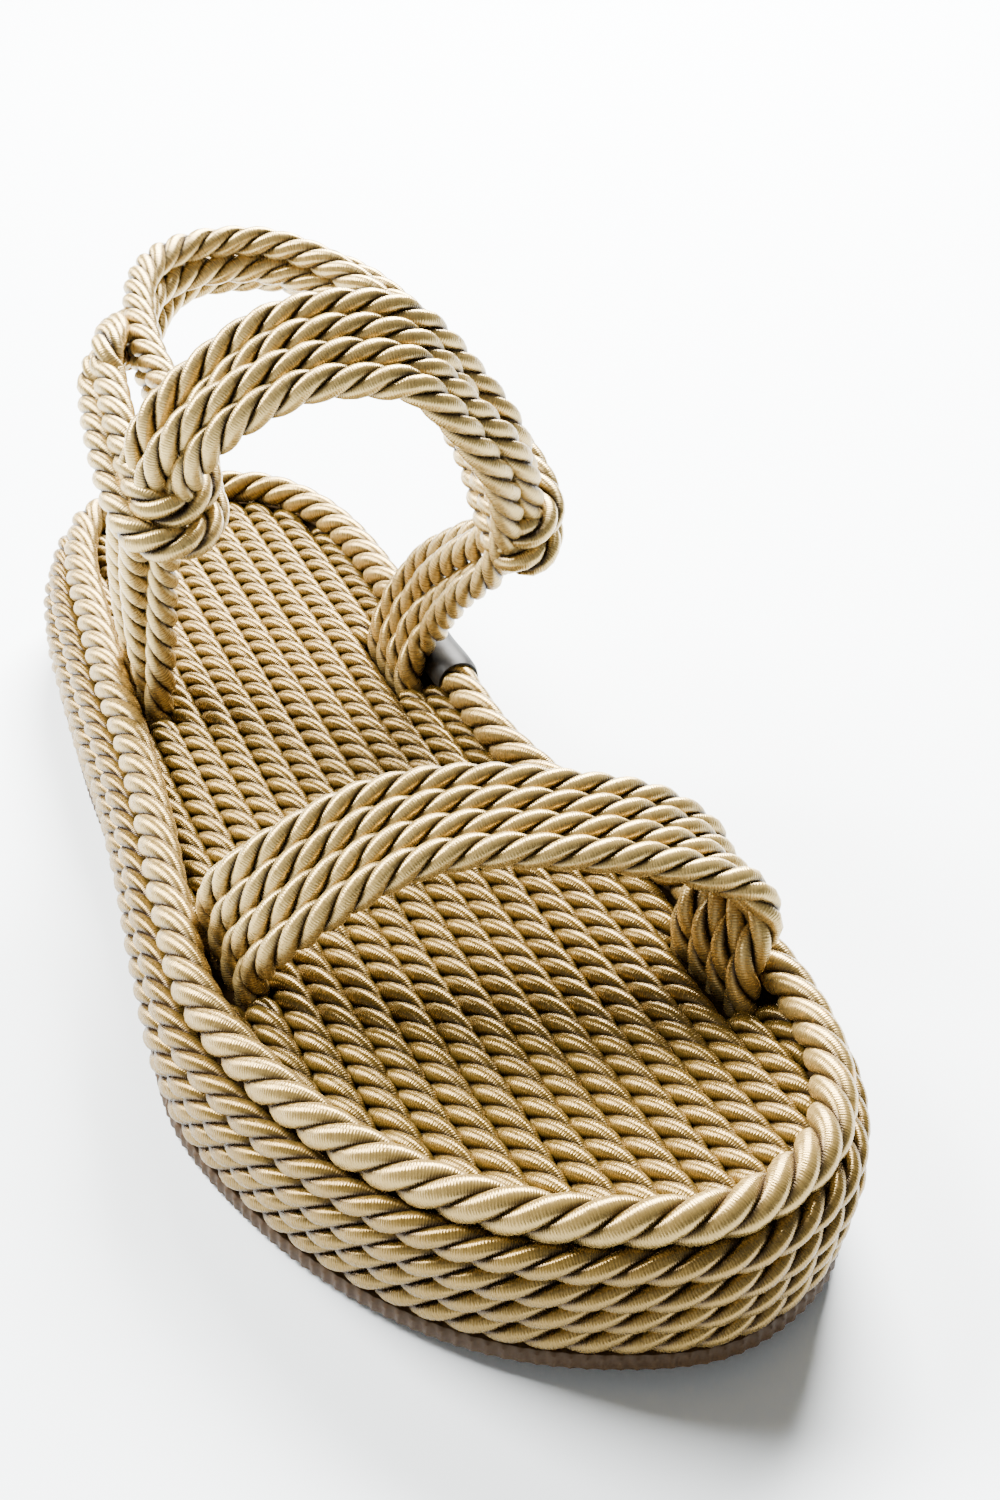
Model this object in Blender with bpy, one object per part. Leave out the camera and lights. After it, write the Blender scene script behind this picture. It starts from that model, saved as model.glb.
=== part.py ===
# Rope sandal for a right foot. The sole is wound from layers of rope round a ridged rope footbed.
# A four-rope toe strap crosses the ball, and a four-rope band runs up two legs to knots and over
# the instep, where a doubled loop of two ropes goes round the heel.
# Metres, +Z up, toe towards -Y, big-toe side towards +X, origin on the floor under the middle.

import math

import bpy
import bmesh
import numpy as np

for old in list(bpy.data.objects):
    bpy.data.objects.remove(old, do_unlink=True)

mm = 0.001

# Driving dimensions
sole_length = 253.0 * mm          # over the rim rope
ball_width = 92.5 * mm            # over the rim rope at the ball
heel_width = 68.0 * mm            # over the rim rope at the heel
toe_spring = 4.0 * mm             # rise of the sole under the toe
outsole_thickness = 3.2 * mm
outsole_edge = 2.3 * mm           # how far the outsole reaches past the lowest rope's middle
rib_depth = 0.5 * mm              # moulded ribs on the outsole's edge
rim_rope = 7.2 * mm               # thick rope that borders the footbed
side_rope = 5.4 * mm              # height taken by one layer of the side
side_layers = 4                   # layers under the rim rope
wall_step = 3.2 * mm              # how far the side ropes stand out past the rim's line
side_flare = 3.2 * mm             # further spread of the lowest ropes behind the ball
bed_rope = 5.36 * mm              # spacing of the footbed's ropes
bed_groove = 1.3 * mm             # depth of the grooves between them
bed_offset = -0.4 * mm            # the middle groove's distance from the middle line
rim_stand = 5.5 * mm              # rim's top above the footbed's crowns
strap_rope = 5.3 * mm             # spacing of the ropes in a strap
strap_ropes = 4                   # ropes side by side in a strap
heel_rope = 5.6 * mm              # spacing of the ropes in the heel loop
heel_ropes = 2                    # ropes stacked in the heel loop
toe_rise = 25.5 * mm              # middle of the toe strap above the footbed's crowns
instep_rise = 87.5 * mm           # middle of the instep band above them
slot_depth = 6.5 * mm             # how deep the strap ends go beside the rim
toe_lean = 0.10                   # turn of the toe strap in plan, inner side forward
slot_room = 0.9 * mm              # room round a strap's end in the footbed
sleeve_length = 18.0 * mm         # smooth sleeve round the rim beside the inner leg
sleeve_wall = 0.6 * mm
sleeve_ahead = 7.2 * mm           # its middle stands this far in front of the leg's
clearance = 0.3 * mm              # between pieces that meet

# Worked out from them
rim_radius = rim_rope / 2
side_radius = (side_rope - clearance) / 2
run_length = sole_length - rim_rope               # length of the rim's centre line
lowest_layer = outsole_thickness + side_rope / 2 + clearance / 2
top_layer = lowest_layer + (side_layers - 1) * side_rope
rim_nest = rim_radius + side_radius + clearance   # rim's middle to the top layer's middle
rim_height = top_layer + math.sqrt(rim_nest**2 - wall_step**2)
rim_level = (rim_height - lowest_layer) / side_rope
bed_top = rim_height + rim_radius - rim_stand     # crowns of the footbed's ropes
slot_floor = bed_top - slot_depth

ring_stations = 56
ring_sides = 7
outsole_stations = 84
rope_brown = (0.52, 0.37, 0.20)

# Centre line of the rim: along is a share of its length from the heel,
# lateral and medial are shares of the local width.
outline_rows = [
    # along, lateral, medial
    (0.02, -0.370, 0.215),
    (0.06, -0.470, 0.350),
    (0.12, -0.525, 0.428),
    (0.20, -0.558, 0.455),
    (0.30, -0.572, 0.432),
    (0.40, -0.540, 0.396),
    (0.50, -0.519, 0.358),
    (0.60, -0.520, 0.393),
    (0.70, -0.525, 0.467),
    (0.80, -0.458, 0.510),
    (0.88, -0.352, 0.487),
    (0.94, -0.218, 0.418),
    (0.98, -0.053, 0.310),
]
heel_tip = -0.07                  # share of the local width where the line crosses the heel
toe_tip = 0.13                    # and the toe

# Share of wall_step and of side_flare that each height of the wall has.
wall_rows = [
    # height in side ropes above the outsole, step, flare
    (0.0, 0.50, 1.00),
    (1.0, 0.80, 0.95),
    (2.0, 1.05, 0.75),
    (3.0, 1.00, 0.35),
    (rim_level, 0.00, 0.00),
]

# Share of the side flare along the wall.
flare_rows = [
    # along, lateral, medial
    (0.00, 1.3, 0.8),
    (0.15, 1.5, 0.8),
    (0.35, 1.0, 0.6),
    (0.55, 1.0, 0.6),
    (0.70, 0.9, 0.4),
    (0.85, 0.4, 0.1),
    (1.00, 0.0, 0.0),
]

# The straps' middle lines. Across is a share of the way out to the rim on that side, and
# the two rows at each end of a strap lie against the rim. Along is a share of run_length.
# Rise is a share of the strap's own rise above the footbed, and below 0 it is the slot's floor.

# Toe strap, from the outer slot over the ball to the inner slot.
toe_rows = [
    # across, along, rise, tilt in degrees, spread
    (-1, 0.655, -0.10, 0, 1.00),
    (-1, 0.655, 0.061, 0, 1.00),
    (-0.796, 0.663, 0.276, 6, 1.00),
    (-0.722, 0.676, 0.496, 11, 1.00),
    (-0.570, 0.686, 0.731, 13, 1.00),
    (-0.296, 0.692, 0.955, 10, 1.00),
    (0.008, 0.703, 1.025, 8, 1.00),
    (0.390, 0.729, 0.994, 8, 1.00),
    (0.712, 0.748, 0.865, 10, 1.00),
    (0.903, 0.765, 0.653, 9, 1.00),
    (0.933, 0.778, 0.433, 5, 1.00),
    (1, 0.787, 0.178, 0, 1.00),
    (1, 0.789, -0.10, 0, 1.00),
]

# Ankle band, from the outer slot up its leg, through the knot, over the instep and down.
ankle_rows = [
    # across, along, rise, tilt in degrees, spread
    (-1, 0.313, -0.10, 0, 1.00),
    (-1, 0.314, 0.031, 0, 1.00),
    (-0.807, 0.331, 0.218, 2, 0.84),
    (-0.810, 0.376, 0.458, 5, 0.58),
    (-0.785, 0.442, 0.669, 8, 0.50),
    (-0.711, 0.462, 0.789, 8, 0.74),
    (-0.512, 0.472, 0.885, 7, 0.94),
    (-0.219, 0.482, 0.959, 19, 1.00),
    (0.117, 0.491, 0.970, 27, 1.00),
    (0.461, 0.504, 0.939, 26, 1.00),
    (0.772, 0.505, 0.820, 22, 0.95),
    (1.015, 0.505, 0.691, 19, 0.70),
    (1.146, 0.487, 0.543, 14, 0.58),
    (1.143, 0.457, 0.423, 9, 0.70),
    (1.043, 0.419, 0.330, 6, 0.84),
    (0.968, 0.388, 0.246, 4, 0.94),
    (0.918, 0.364, 0.172, 2, 1.00),
    (0.853, 0.353, 0.121, 0, 1.00),
    (0.781, 0.348, 0.063, 0, 1.00),
    (1, 0.347, 0.018, 0, 1.00),
    (1, 0.347, -0.10, 0, 1.00),
]

# Heel loop: the inner layer, round the inner knot, the outer layer, round the outer knot.
heel_rows = [
    # across, along, rise, tilt in degrees
    (0.076, 0.128, 0.783, 0),
    (-0.290, 0.148, 0.783, 0),
    (-0.496, 0.199, 0.775, 0),
    (-0.576, 0.276, 0.749, 0),
    (-0.569, 0.354, 0.721, 0),
    (-0.551, 0.423, 0.692, 0),
    (-0.586, 0.465, 0.663, 10),
    (-0.724, 0.484, 0.650, 25),
    (-0.870, 0.472, 0.658, 35),
    (-0.906, 0.435, 0.682, 38),
    (-0.900, 0.374, 0.723, 38),
    (-0.860, 0.317, 0.750, 34),
    (-0.823, 0.297, 0.784, 28),
    (-0.727, 0.256, 0.758, 16),
    (-0.602, 0.223, 0.729, 4),
    (-0.471, 0.183, 0.706, 0),
    (-0.304, 0.138, 0.718, 0),
    (-0.125, 0.116, 0.733, 0),
    (0.139, 0.101, 0.729, 0),
    (0.675, 0.109, 0.719, 0),
    (1.058, 0.175, 0.707, 0),
    (1.283, 0.264, 0.661, 0),
    (1.385, 0.362, 0.602, 0),
    (1.427, 0.447, 0.551, 0),
    (1.362, 0.493, 0.517, 0),
    (1.154, 0.510, 0.501, 0),
    (1.038, 0.496, 0.513, 0),
    (1.076, 0.455, 0.547, 0),
    (1.150, 0.394, 0.597, 0),
    (1.126, 0.305, 0.669, 0),
    (0.895, 0.207, 0.743, 0),
    (0.538, 0.148, 0.778, 0),
]


def smooth_step(value):
    value = min(max(value, 0.0), 1.0)
    return value * value * (3 - 2 * value)


def along_to_y(along):
    return (0.5 - along) * run_length


def y_to_along(y):
    return 0.5 - y / run_length


def local_width(along):
    share = smooth_step((along - 0.2) / 0.5)
    return (heel_width - rim_rope) + (ball_width - heel_width) * share


def lift(y):
    share = max(0.0, (y_to_along(y) - 0.74) / 0.26)
    return toe_spring * share * share


def spline(points, count, closed):
    points = np.array(points, float)
    total = len(points)
    if closed:
        tangents = (np.roll(points, -1, axis=0) - np.roll(points, 1, axis=0)) / 2
    else:
        tangents = np.gradient(points, axis=0)
    steps = np.linspace(0, 1, 17)[:-1, None]
    pieces = []
    for i in range(total if closed else total - 1):
        a, b = points[i], points[(i + 1) % total]
        span = np.linalg.norm((b - a)[:3])
        ta = tangents[i] * min(1.0, 1.4 * span / max(np.linalg.norm(tangents[i][:3]), 1e-9))
        j = (i + 1) % total
        tb = tangents[j] * min(1.0, 1.4 * span / max(np.linalg.norm(tangents[j][:3]), 1e-9))
        s = steps
        pieces.append((2 * s**3 - 3 * s**2 + 1) * a + (s**3 - 2 * s**2 + s) * ta
                      + (3 * s**2 - 2 * s**3) * b + (s**3 - s**2) * tb)
    pieces.append(points[:1] if closed else points[-1:])
    dense = np.concatenate(pieces)
    run = np.concatenate([[0], np.cumsum(np.linalg.norm(np.diff(dense[:, :3], axis=0), axis=1))])
    wanted = np.linspace(0, run[-1], count, endpoint=not closed)
    return np.column_stack([np.interp(wanted, run, dense[:, k]) for k in range(dense.shape[1])])


def rim_line(count):
    """Closed centre line of the rim in plan, from the heel along the lateral side."""
    line = [(heel_tip * local_width(0), along_to_y(0), 0)]
    line += [(lateral * local_width(along), along_to_y(along), 0)
             for along, lateral, _ in outline_rows]
    line.append((toe_tip * local_width(1), along_to_y(1), 0))
    line += [(medial * local_width(along), along_to_y(along), 0)
             for along, _, medial in reversed(outline_rows)]
    return spline(line, count, True)[:, :2]


def rim_reach(side, y):
    """Way out from the middle line to the rim's centre line, on one side."""
    plan = rim_line(400)
    plan = plan[plan[:, 0] * side > 0]
    order = np.argsort(plan[:, 1])
    return np.interp(y, plan[order, 1], np.abs(plan[order, 0]))


def outward(line):
    """Unit normals of the plan line, pointing out of the shoe."""
    tangent = np.roll(line, -1, axis=0) - np.roll(line, 1, axis=0)
    normal = np.column_stack([tangent[:, 1], -tangent[:, 0]])
    normal /= np.linalg.norm(normal, axis=1)[:, None]
    middle = line.mean(axis=0)
    if ((line - middle) * normal).sum() < 0:
        normal = -normal
    return normal


def flare_at(line, level):
    """How far the wall stands out past the rim's line at a height."""
    height = (level - lowest_layer) / side_rope
    heights = [row[0] for row in wall_rows]
    step = np.interp(height, heights, [row[1] for row in wall_rows])
    share = np.interp(height, heights, [row[2] for row in wall_rows])
    along = [row[0] for row in flare_rows]
    lateral = np.interp(y_to_along(line[:, 1]), along, [row[1] for row in flare_rows])
    medial = np.interp(y_to_along(line[:, 1]), along, [row[2] for row in flare_rows])
    side = 0.5 + 0.5 * np.tanh(line[:, 0] / (heel_width / 6))
    return wall_step * step + side_flare * share * (lateral * (1 - side) + medial * side)


def ring(level, grow, count):
    """Points of the wall's outline at a level, moved out by grow, with the toe's rise."""
    line = rim_line(count)
    plan = line + outward(line) * (flare_at(line, level) + grow)[:, None]
    return np.array([(x, y, level + lift(y)) for x, y in plan])


def frames(path, closed, guide, tilts=None):
    """Tangent, width and face directions at each point; width follows the guide."""
    if closed:
        tangent = np.roll(path, -1, axis=0) - np.roll(path, 1, axis=0)
    else:
        tangent = np.gradient(path, axis=0)
    tangent /= np.linalg.norm(tangent, axis=1)[:, None]
    width = np.array(guide, float) - tangent * (tangent @ np.array(guide, float))[:, None]
    width /= np.linalg.norm(width, axis=1)[:, None]
    face = np.cross(tangent, width)
    if tilts is not None:
        angle = np.radians(tilts)[:, None]
        width, face = (width * np.cos(angle) + face * np.sin(angle),
                       face * np.cos(angle) - width * np.sin(angle))
    return tangent, width, face


def make_object(name, mesh_points, faces, colour, roughness, smooth=True):
    mesh = bpy.data.meshes.new(name)
    mesh.from_pydata([tuple(p) for p in mesh_points], [], faces)
    work = bmesh.new()
    work.from_mesh(mesh)
    bmesh.ops.triangulate(work, faces=work.faces[:])
    bmesh.ops.recalc_face_normals(work, faces=work.faces[:])
    work.to_mesh(mesh)
    work.free()
    material = bpy.data.materials.new(name)
    material.use_nodes = True
    shader = material.node_tree.nodes["Principled BSDF"]
    shader.inputs["Base Color"].default_value = (*colour, 1)
    shader.inputs["Roughness"].default_value = roughness
    mesh.materials.append(material)
    if smooth:
        mesh.shade_smooth()
        mesh.set_sharp_from_angle(angle=math.radians(55))
    piece = bpy.data.objects.new(name, mesh)
    bpy.context.collection.objects.link(piece)
    return piece


def loft(sections, closed):
    """Vertices and faces of a skin over equal closed sections, capped when it is open."""
    count, around = len(sections), len(sections[0])
    faces = []
    for i in range(count if closed else count - 1):
        for k in range(around):
            a, b = i * around + k, i * around + (k + 1) % around
            c, d = (i + 1) % count * around + (k + 1) % around, (i + 1) % count * around + k
            faces.append((a, b, c, d))
    if not closed:
        faces.append(tuple(range(around))[::-1])
        faces.append(tuple(range((count - 1) * around, count * around)))
    return np.concatenate(sections), faces


def tube_sections(path, radius, sides, closed, guide=(0, 0, 1)):
    _, width, face = frames(path, closed, guide)
    turns = [2 * math.pi * (k + 0.5) / sides for k in range(sides)]
    return [np.array([p + radius * (math.cos(t) * w + math.sin(t) * f) for t in turns])
            for p, w, f in zip(path, width, face)]


def scallop(ropes, spacing, radius):
    """Closed outline of ropes lying side by side, joined at their grooves."""
    points = []
    waist = 0.42 * radius
    for row in (1, -1):
        for k in range(ropes):
            across = (k - (ropes - 1) / 2) * spacing * row
            points.append((across - row * spacing / 4, row * radius * 0.88))
            points.append((across + row * spacing / 4, row * radius * 0.88))
            if k < ropes - 1:
                points.append((across + row * spacing / 2, row * waist))
        edge = row * ((ropes - 1) / 2 * spacing + radius)
        points.append((edge, 0.0))
    return points


def band_sections(path, spread, closed, outline, guide, tilts=None):
    _, width, face = frames(path, closed, guide, tilts)
    sections = []
    for p, s, w, f in zip(path, spread, width, face):
        sections.append(np.array([p + w * u * s + f * v * (2 - s) ** 0.8 for u, v in outline]))
    return sections


def build_outsole():
    """Sheet under the ropes, skinned across from heel to toe so that its flat spots are flat."""
    line = rim_line(ring_stations * 4)
    edge = line + outward(line) * (flare_at(line, lowest_layer) + outsole_edge)[:, None]
    heel, toe = edge[:, 1].argmax(), edge[:, 1].argmin()
    lateral = edge[heel:toe + 1] if heel < toe else np.concatenate([edge[heel:], edge[:toe + 1]])
    medial = np.concatenate([edge[toe:], edge[:heel + 1]]) if heel < toe else edge[toe:heel + 1]
    turns = np.linspace(0, math.pi, outsole_stations + 2)[1:-1]
    middle, reach = (edge[heel, 1] + edge[toe, 1]) / 2, (edge[heel, 1] - edge[toe, 1]) / 2
    sections = []
    for k, turn in enumerate(turns):
        y = middle + reach * (0.35 * math.cos(turn) + 0.65 * (1 - 2 * turn / math.pi))
        rib = rib_depth if k % 2 else 0.0
        left = np.interp(-y, -lateral[:, 1], lateral[:, 0]) + rib
        right = np.interp(y, medial[:, 1], medial[:, 0]) - rib
        low, high = lift(y), lift(y) + outsole_thickness
        sections.append(np.array([(left, y, low), (right, y, low), (right, y, high), (left, y, high)]))
    points, faces = loft(sections, False)
    return make_object("outsole", points, faces, (0.17, 0.11, 0.07), 0.75, smooth=False)


def build_footbed():
    """A block inside the wall with one ridge for each rope of the footbed."""
    bottom = outsole_thickness + clearance
    half_count = math.ceil(max(ball_width, heel_width) / 2 / bed_rope)
    columns = []
    for k in range(-half_count, half_count):
        x = bed_offset + k * bed_rope
        columns += [(x, -bed_groove), (x + bed_rope * 0.2, -bed_groove * 0.22),
                    (x + bed_rope * 0.5, 0.0), (x + bed_rope * 0.8, -bed_groove * 0.22)]
    columns.append((bed_offset + half_count * bed_rope, -bed_groove))
    stations = [run_length / 2] + [along_to_y(a) for a in (0.74, 0.80, 0.86, 0.92, 1.0)]
    stations[-1] -= rim_rope
    sections = []
    for y in stations:
        top = [(x, y, bed_top + dz + lift(y)) for x, dz in columns]
        base = [(columns[-1][0], y, bottom - side_rope), (columns[0][0], y, bottom - side_rope)]
        sections.append(np.array(top + base))
    slab_points, slab_faces = loft(sections, False)
    slab = make_object("footbed", slab_points, slab_faces, rope_brown, 0.5, smooth=False)
    levels = [
        (bottom, lowest_layer, -side_radius - clearance),
        (rim_height - rim_radius, rim_height, -rim_radius - clearance),
        (rim_height + rim_radius, rim_height, -rim_radius - clearance),
    ]
    walls = []
    line = rim_line(ring_stations)
    normal = outward(line)
    for level, flare_level, grow in levels:
        plan = line + normal * (flare_at(line, flare_level) + grow)[:, None]
        walls.append(np.array([(px, py, level + lift(py)) for px, py in plan]))
    core_points, core_faces = loft(walls, False)
    core = make_object("footbed_outline", core_points, core_faces, rope_brown, 0.5, smooth=False)
    keep(slab, core, "INTERSECT")
    for strap in (toe, ankle):
        path = strap_path(strap, 2)
        keep(slab, slot_cutter(*path[0, :2]), "DIFFERENCE")
        keep(slab, slot_cutter(*path[-1, :2]), "DIFFERENCE")
    return slab


def slot_cutter(x, y):
    """Box round a strap's end, open to the rim and to the top."""
    side = math.copysign(1.0, x)
    inner = x - side * (strap_radius() + slot_room)
    outer = x + side * rim_rope * 2
    reach = strap_ropes * strap_rope / 2 + 2 * slot_room
    low, high = slot_floor - 2 * slot_room, rim_height * 2
    bpy.ops.mesh.primitive_cube_add(size=1)
    box = bpy.context.object
    box.name = "slot"
    box.dimensions = (abs(outer - inner), 2 * reach, high - low)
    box.location = ((inner + outer) / 2, y, (low + high) / 2)
    box.hide_render = True
    box.display_type = "WIRE"
    bpy.context.view_layer.update()
    return box


def strap_radius():
    return strap_rope / 2


def keep(piece, other, operation):
    """Cut or join with a Boolean, applied, and drop the other shape."""
    change = piece.modifiers.new("cut", "BOOLEAN")
    change.object = other
    change.operation = operation
    change.solver = "EXACT"
    bpy.context.view_layer.update()
    graph = bpy.context.evaluated_depsgraph_get()
    mesh = bpy.data.meshes.new_from_object(piece.evaluated_get(graph))
    piece.modifiers.clear()
    old_mesh = piece.data
    piece.data = mesh
    bpy.data.meshes.remove(old_mesh)
    bpy.data.objects.remove(other, do_unlink=True)
    piece.data.name = piece.name


def fill_voids(piece):
    """Delete the shells of small voids sealed inside a knot, keeping the largest skin."""
    work = bmesh.new()
    work.from_mesh(piece.data)
    left = set(work.verts)
    skins = []
    while left:
        stack = [left.pop()]
        skin = list(stack)
        while stack:
            for edge in stack.pop().link_edges:
                for vert in edge.verts:
                    if vert in left:
                        left.remove(vert)
                        stack.append(vert)
                        skin.append(vert)
        skins.append(skin)
    skins.sort(key=len)
    for skin in skins[:-1]:
        bmesh.ops.delete(work, geom=skin, context="VERTS")
    work.to_mesh(piece.data)
    work.free()


def build_rope_ring(name, level, radius, grow):
    path = ring(level, grow, ring_stations)
    points, faces = loft(tube_sections(path, radius, ring_sides, True), True)
    return make_object(name, points, faces, rope_brown, 0.45)


def seat(side, y, lean, beside):
    """Where a strap's end lies, between the footbed and what is beside it on the rim."""
    across = (np.arange(strap_ropes) - (strap_ropes - 1) / 2) * strap_rope
    room = rim_reach(side, y - across) - rim_radius - beside - clearance - strap_radius()
    return side * (room - side * lean * across).min()


def strap_path(strap, count, closed=False):
    """Points along a strap's middle line: x, y, z, tilt and, for a band, spread."""
    points = []
    for i, row in enumerate(strap["rows"]):
        y = along_to_y(row[1])
        side = math.copysign(1.0, row[0])
        if closed or 1 < i < len(strap["rows"]) - 2:
            x = row[0] * rim_reach(side, y)
        else:
            x = seat(side, y, strap["lean"], strap["beside"] if side > 0 else 0.0)
        z = slot_floor if row[2] < 0 else bed_top + row[2] * strap["rise"]
        points.append((x, y, z + lift(y), *row[3:]))
    return spline(points, count, closed)


def build_band(name, strap, count):
    """Ropes side by side along a strap's path, fused at their grooves."""
    data = strap_path(strap, count)
    outline = scallop(strap_ropes, strap_rope, strap_radius())
    guide = (strap["lean"], -1, 0)
    sections = band_sections(data[:, :3], data[:, 4], False, outline, guide, data[:, 3])
    points, faces = loft(sections, False)
    return make_object(name, points, faces, rope_brown, 0.45)


def build_ankle_straps():
    band = build_band("ankle_straps", ankle, 46)
    data = strap_path({**ankle, "rows": heel_rows}, 84, True)
    outline = scallop(heel_ropes, heel_rope, heel_rope / 2)
    sections = band_sections(data[:, :3], np.ones(len(data)), True, outline, (0, 0, 1), data[:, 3])
    points, faces = loft(sections, True)
    keep(band, make_object("heel_loop", points, faces, rope_brown, 0.45), "UNION")
    fill_voids(band)
    return band


def build_sleeve():
    """Smooth sleeve over the top of the rim beside the inner leg."""
    line = ring(rim_height, 0.0, 400)
    y_mid = along_to_y(ankle_rows[-1][1]) - sleeve_ahead
    medial = [p for p in line if p[0] > 0 and abs(p[1] - y_mid) < sleeve_length / 2]
    medial = np.array(medial[:: max(1, len(medial) // 5)])
    _, width, face = frames(medial, False, (0, 0, 1))
    turns = np.radians(np.linspace(-88, 112, 9))
    inner, outer = rim_radius + clearance, rim_radius + clearance + sleeve_wall
    sections = []
    for p, w, f in zip(medial, width, face):
        arc = [p + outer * (math.cos(t) * w + math.sin(t) * f) for t in turns]
        arc += [p + inner * (math.cos(t) * w + math.sin(t) * f) for t in turns[::-1]]
        sections.append(np.array(arc))
    points, faces = loft(sections, False)
    return make_object("rim_sleeve", points, faces, (0.02, 0.02, 0.02), 0.4)


def centre_over_origin(pieces):
    """Move the whole shoe so that the middle of its box stands over the origin."""
    points = np.concatenate([[tuple(v.co) for v in piece.data.vertices] for piece in pieces])
    middle = (points.min(axis=0) + points.max(axis=0)) / 2
    for piece in pieces:
        piece.location = (-middle[0], -middle[1], 0.0)


toe = {"rows": toe_rows, "rise": toe_rise, "lean": toe_lean, "beside": 0.0}
ankle = {"rows": ankle_rows, "rise": instep_rise, "lean": 0.0, "beside": clearance + sleeve_wall}
shoe = [build_outsole(), build_footbed()]
for layer in range(side_layers):
    level = lowest_layer + layer * side_rope
    shoe.append(build_rope_ring(f"side_rope_{layer + 1}", level, side_radius, 0.0))
shoe.append(build_rope_ring("rim_rope", rim_height, rim_radius, 0.0))
shoe += [build_band("toe_strap", toe, 24), build_ankle_straps(), build_sleeve()]
centre_over_origin(shoe)
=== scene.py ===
import math
import random

import bmesh
import bpy
import numpy as np
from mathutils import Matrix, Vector


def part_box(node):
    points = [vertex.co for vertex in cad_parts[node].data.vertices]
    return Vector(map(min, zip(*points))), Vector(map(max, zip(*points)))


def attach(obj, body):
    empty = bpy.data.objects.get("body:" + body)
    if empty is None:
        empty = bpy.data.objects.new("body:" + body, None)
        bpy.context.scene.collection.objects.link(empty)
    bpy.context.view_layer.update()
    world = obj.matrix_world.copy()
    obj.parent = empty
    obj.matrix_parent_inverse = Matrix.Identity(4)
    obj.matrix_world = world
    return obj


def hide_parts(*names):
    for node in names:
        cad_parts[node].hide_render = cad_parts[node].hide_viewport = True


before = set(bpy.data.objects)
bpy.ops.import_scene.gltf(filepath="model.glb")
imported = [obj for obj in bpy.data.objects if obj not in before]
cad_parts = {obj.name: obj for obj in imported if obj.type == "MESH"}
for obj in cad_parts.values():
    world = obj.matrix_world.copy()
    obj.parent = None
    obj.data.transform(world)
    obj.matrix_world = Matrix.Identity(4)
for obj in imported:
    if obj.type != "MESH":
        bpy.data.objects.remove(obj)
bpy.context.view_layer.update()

# Rope sandal, right shoe: every cord is a real twist of three strands laid on the
# same lines as the plain ropes of the frame. Metres, toe towards -Y.

mm = 0.001
random.seed(7)

sole = {
    "length": 253.0 * mm,       # over the rim
    "ballWidth": 92.5 * mm,     # over the rim
    "heelWidth": 68.0 * mm,
    "widensFrom": 0.2,          # share of the length where the heel's width ends
    "widensOver": 0.5,
    "toeSpring": 4.0 * mm,
    "springFrom": 0.74,         # share of the length where the toe starts to rise
    "rubber": 3.2 * mm,         # outsole sheet
    "rubberReach": 2.3 * mm,    # past the lowest cord's middle
    "rimCord": 7.2 * mm,
    "sideCord": 5.4 * mm,
    "sideLayers": 4,
    "wallStep": 3.2 * mm,       # side cords stand out past the rim's line
    "sideFlare": 3.2 * mm,      # lowest cords spread out further, least at the toe
    "bedCord": 5.36 * mm,
    "rimStand": 5.5 * mm,       # rim's top above the footbed
    "slotDepth": 6.5 * mm,      # strap ends go this deep beside the rim
    "gap": 0.3 * mm,            # between pieces that meet
}
strap = {
    "cord": 5.3 * mm,
    "cords": 4,
    "heelCord": 5.6 * mm,
    "toeRise": 25.5 * mm,
    "instepRise": 87.5 * mm,
    "toeLean": 0.10,            # turn of the toe strap in plan
}
sleeve = {
    "length": 18 * mm,
    "ahead": 7.2 * mm,          # its middle, in front of the inner leg's
    "wall": 0.6 * mm,
    "from": -96,                # degrees round the rim cord
    "to": 118,
    "around": 30,               # points over that turn
    "swell": 0.12 * mm,         # slack rings along it
    "swellTurn": 0.55,
    "colour": (0.009, 0.008, 0.007),
    "rough": 0.5,
    "shine": 0.18,
    "foldScale": 260.0,
    "foldBump": 0.35,
    "foldDepth": 0.0004,
}
twist = {
    "bedLay": 15.3 * mm,        # length of one full turn of a strand
    "sideLay": 18.2 * mm,
    "rimLay": 19.8 * mm,
    "strapLay": 17.0 * mm,
    "step": 1.05 * mm,          # distance between cross sections
    "sides": 10,
    "strandShare": 0.232,       # a strand's radius as a share of the cord's width
    "fullness": 1.06,           # strands swell a little into each other
    "flatness": 1.10,           # and are pressed a little wide
    "sideSwell": 1.03,          # cords are packed this much fuller than their spacing
    "bedSwell": 1.11,
    "strapSwell": 1.11,
    "heelSwell": 1.08,
    "layerTurn": 1.7,           # radians by which each side cord's twist starts later
    "rimTurn": 0.4,
    "toeTurn": 0.3,
    "ankleTurn": 1.1,
    "strapTurn": 0.9,
    "heelTurn": 0.8,
}

runLength = sole["length"] - sole["rimCord"]
lowestLayer = sole["rubber"] + sole["sideCord"] / 2 + sole["gap"] / 2
topLayer = lowestLayer + (sole["sideLayers"] - 1) * sole["sideCord"]
rimNest = sole["rimCord"] / 2 + (sole["sideCord"] - sole["gap"]) / 2 + sole["gap"]
rimHeight = topLayer + math.sqrt(rimNest**2 - sole["wallStep"] ** 2)
rimLevel = (rimHeight - lowestLayer) / sole["sideCord"]
bedTop = rimHeight + sole["rimCord"] / 2 - sole["rimStand"]
slotFloor = bedTop - sole["slotDepth"]

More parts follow.
